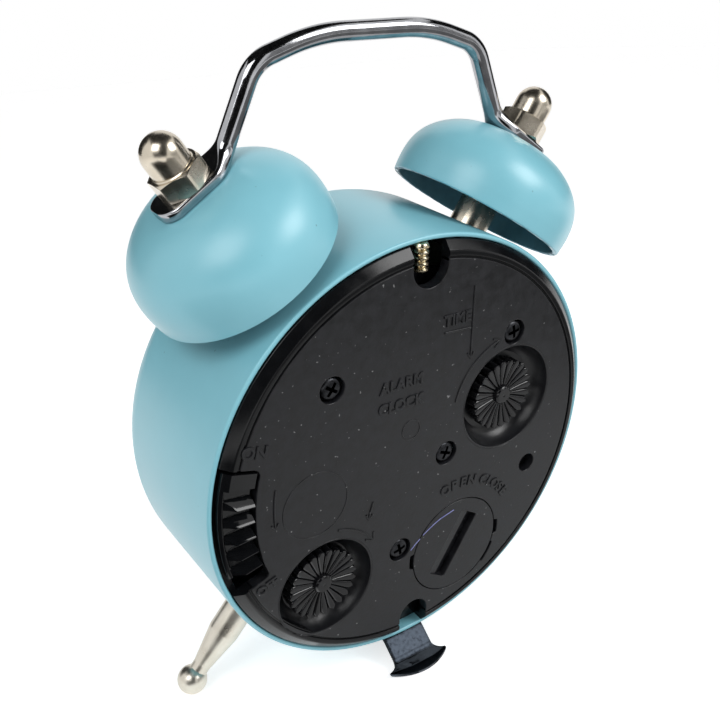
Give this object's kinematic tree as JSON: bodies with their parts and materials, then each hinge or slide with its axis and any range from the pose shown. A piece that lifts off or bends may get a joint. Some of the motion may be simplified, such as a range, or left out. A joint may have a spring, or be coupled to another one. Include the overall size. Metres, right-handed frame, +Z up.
{
  "type": "twin bell alarm clock",
  "caption": "Small round desk alarm clock with a pair of fixed bells on posts, a bent carrying handle, ball feet, a rear stand and a quartz movement behind a plastic back plate.",
  "frame": {"origin": "on the ground, under the middle of the clock's bounding box", "axes": "+Z up, +X to the right seen from the dial, +Y to the back; the dial faces -Y and leans back"},
  "size_m": [0.0584, 0.0316, 0.0818],
  "materials": {
    "blue_paint": "matte",
    "chrome": "polished",
    "nickel": "polished",
    "steel": "satin",
    "black_plastic": "satin",
    "grey_plastic": "satin",
    "white_plastic": "satin",
    "brass": "satin",
    "copper_wire": "satin",
    "lens_glass": "polished",
    "dial_white": "matte",
    "hand_black": "satin",
    "hand_red": "satin",
    "board_green": "satin",
    "magnet": "satin"
  },
  "bodies": {
    "case": {"case_shell": "blue_paint", "left_bell": "blue_paint", "right_bell": "blue_paint", "bell_spacers": "nickel", "bell_studs": "steel", "bell_stud_nuts": "steel", "leg_nuts": "steel", "acorn_nuts": "nickel", "handle": "chrome", "left_leg": "nickel", "right_leg": "nickel", "rear_stand": "chrome", "stand_screw": "steel", "stand_nut": "steel", "back_plate": "black_plastic", "plate_screws": "steel", "case_screw": "brass", "movement_rear_plate": "black_plastic", "movement_middle_plate": "white_plastic", "movement_front_plate": "white_plastic", "stator": "steel", "coil": "copper_wire", "circuit_board": "board_green", "control_chip": "black_plastic", "crystal": "steel", "alarm_contact": "brass", "buzzer": "black_plastic", "button_cell": "steel", "cell_contact_negative": "brass", "cell_contact_positive": "brass", "dial": "dial_white", "dial_ring": "grey_plastic", "lens": "lens_glass"},
    "time_knob": {"time_knob": "black_plastic", "time_set_gear": "white_plastic"},
    "minute_wheel": {"minute_wheel": "white_plastic"},
    "cannon_pinion": {"cannon_pinion": "white_plastic", "minute_hand": "hand_black"},
    "hour_wheel": {"hour_wheel": "white_plastic", "hour_hand": "hand_black"},
    "second_wheel": {"second_wheel": "white_plastic", "second_hand": "hand_red"},
    "intermediate_wheel": {"intermediate_wheel": "white_plastic"},
    "rotor": {"rotor": "magnet"},
    "third_wheel": {"third_wheel": "white_plastic"},
    "centre_wheel": {"centre_wheel": "white_plastic"},
    "alarm_knob": {"alarm_knob": "black_plastic", "alarm_set_gear": "white_plastic"},
    "alarm_idler": {"alarm_idler": "white_plastic"},
    "alarm_wheel": {"alarm_wheel": "white_plastic", "alarm_hand": "hand_red"},
    "alarm_switch": {"alarm_switch": "black_plastic"},
    "battery_lid": {"battery_lid": "black_plastic"}
  },
  "joints": [
    {"name": "time_knob_turn", "type": "hinge", "parent": "case", "child": "time_knob", "pos_m": [-0.0136, 0.00698, 0.03671], "axis": [0, 0.9911, -0.1334], "continuous": true},
    {"name": "minute_wheel_turn", "type": "hinge", "parent": "case", "child": "minute_wheel", "pos_m": [-0.00579, 0.00664, 0.03415], "axis": [0, 0.9911, -0.1334], "continuous": true},
    {"name": "minute_hand_turn", "type": "hinge", "parent": "case", "child": "cannon_pinion", "pos_m": [0, 0.00638, 0.03225], "axis": [0, 0.9911, -0.1334], "continuous": true},
    {"name": "hour_hand_turn", "type": "hinge", "parent": "case", "child": "hour_wheel", "pos_m": [0, 0.00638, 0.03225], "axis": [0, 0.9911, -0.1334], "continuous": true},
    {"name": "second_hand_turn", "type": "hinge", "parent": "case", "child": "second_wheel", "pos_m": [0, 0.00638, 0.03225], "axis": [0, 0.9911, -0.1334], "continuous": true},
    {"name": "intermediate_wheel_turn", "type": "hinge", "parent": "case", "child": "intermediate_wheel", "pos_m": [0.00481, 0.00702, 0.03702], "axis": [0, 0.9911, -0.1334], "continuous": true},
    {"name": "rotor_turn", "type": "hinge", "parent": "case", "child": "rotor", "pos_m": [0.00778, 0.00771, 0.04211], "axis": [0, 0.9911, -0.1334], "continuous": true},
    {"name": "third_wheel_turn", "type": "hinge", "parent": "case", "child": "third_wheel", "pos_m": [-0.00256, 0.00732, 0.03922], "axis": [0, 0.9911, -0.1334], "continuous": true},
    {"name": "centre_wheel_turn", "type": "hinge", "parent": "case", "child": "centre_wheel", "pos_m": [0, 0.00638, 0.03225], "axis": [0, 0.9911, -0.1334], "continuous": true},
    {"name": "alarm_knob_turn", "type": "hinge", "parent": "case", "child": "alarm_knob", "pos_m": [0.0134, 0.00457, 0.01877], "axis": [0, 0.9911, -0.1334], "continuous": true},
    {"name": "alarm_idler_turn", "type": "hinge", "parent": "case", "child": "alarm_idler", "pos_m": [0.00715, 0.00542, 0.02506], "axis": [0, 0.9911, -0.1334], "continuous": true},
    {"name": "alarm_hand_turn", "type": "hinge", "parent": "case", "child": "alarm_wheel", "pos_m": [0, 0.00638, 0.03225], "axis": [0, 0.9911, -0.1334], "continuous": true},
    {"name": "alarm_switch_slide", "type": "hinge", "parent": "case", "child": "alarm_switch", "pos_m": [0, 0.01134, 0.03158], "axis": [0, -0.9911, 0.1334], "range_deg": [-5, 0]},
    {"name": "battery_lid_turn", "type": "hinge", "parent": "case", "child": "battery_lid", "pos_m": [-0.0068, 0.00925, 0.01607], "axis": [0, 0.9911, -0.1334], "range_deg": [0, 50]}
  ],
  "couplings": [
    {"joint": "minute_wheel_turn", "follows": "time_knob_turn", "ratio": -0.8},
    {"joint": "minute_hand_turn", "follows": "time_knob_turn", "ratio": 2.4},
    {"joint": "hour_hand_turn", "follows": "time_knob_turn", "ratio": 0.2},
    {"joint": "intermediate_wheel_turn", "follows": "second_hand_turn", "ratio": -3},
    {"joint": "rotor_turn", "follows": "second_hand_turn", "ratio": 30},
    {"joint": "third_wheel_turn", "follows": "second_hand_turn", "ratio": -0.13333},
    {"joint": "centre_wheel_turn", "follows": "second_hand_turn", "ratio": 0.016667},
    {"joint": "alarm_idler_turn", "follows": "alarm_knob_turn", "ratio": -0.4},
    {"joint": "alarm_hand_turn", "follows": "alarm_knob_turn", "ratio": 0.66667}
  ]
}
